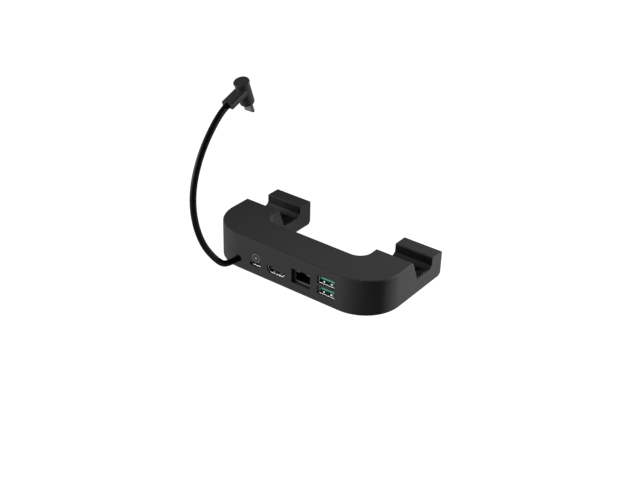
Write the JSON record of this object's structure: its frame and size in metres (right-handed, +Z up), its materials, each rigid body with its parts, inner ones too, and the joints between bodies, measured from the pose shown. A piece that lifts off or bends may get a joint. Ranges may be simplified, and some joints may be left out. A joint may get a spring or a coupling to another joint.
{
  "type": "handheld console dock",
  "caption": "Charcoal U-shaped dock for a handheld console, with two rubber-lined cradle slots, a row of ports along its front and a short captive lead with an angled plug.",
  "frame": {"origin": "under the middle of the dock's body, on the surface that its feet stand on", "axes": "+X along the row of ports, +Y from the port face to the hooks, +Z up"},
  "size_m": [0.145, 0.1247, 0.135],
  "materials": {
    "body_plastic": "fine matte texture, charcoal",
    "cover_plastic": "fine matte texture, charcoal",
    "liner_rubber": "smooth soft black",
    "foot_rubber": "smooth soft black",
    "circuit_board": "black solder mask",
    "chip_plastic": "moulded black",
    "coil_ferrite": "pressed grey powder",
    "socket_steel": "bright nickel plate",
    "jack_plastic": "moulded, dark grey",
    "socket_insulator": "moulded black",
    "data_insulator": "moulded blue-green",
    "contact_metal": "gold plate",
    "screw_steel": "dark zinc plate",
    "grommet_rubber": "smooth soft black",
    "lead_jacket": "satin black",
    "wire_jacket": "coloured wire jackets",
    "plug_plastic": "smooth satin charcoal",
    "plug_steel": "satin nickel plate"
  },
  "bodies": {
    "root": {"upper_housing": "body_plastic", "bottom_cover": "cover_plastic", "cover_screws": "screw_steel", "cradle_liner_left": "liner_rubber", "cradle_liner_right": "liner_rubber", "hook_pad_left": "liner_rubber", "hook_pad_right": "liner_rubber", "mainboard": "circuit_board", "board_screws": "screw_steel", "power_socket_shell": "socket_steel", "power_socket_tongue": "socket_insulator", "video_socket_shell": "socket_steel", "video_socket_tongue": "socket_insulator", "network_jack_body": "jack_plastic", "network_jack_contacts": "contact_metal", "data_socket_shell": "socket_steel", "data_tongue_lower": "data_insulator", "data_tongue_upper": "data_insulator", "data_contacts": "contact_metal", "power_chip": "chip_plastic", "hub_chip": "chip_plastic", "video_chip": "chip_plastic", "memory_chip": "chip_plastic", "power_coil": "coil_ferrite", "cable_grommet": "grommet_rubber", "lead_wires": "wire_jacket", "lead": "lead_jacket", "plug_overmould": "plug_plastic", "plug_shell": "plug_steel", "plug_insulator": "socket_insulator", "foot_front_left": "foot_rubber", "foot_front_right": "foot_rubber", "foot_rear_left": "foot_rubber", "foot_rear_right": "foot_rubber"}
  },
  "joints": []
}
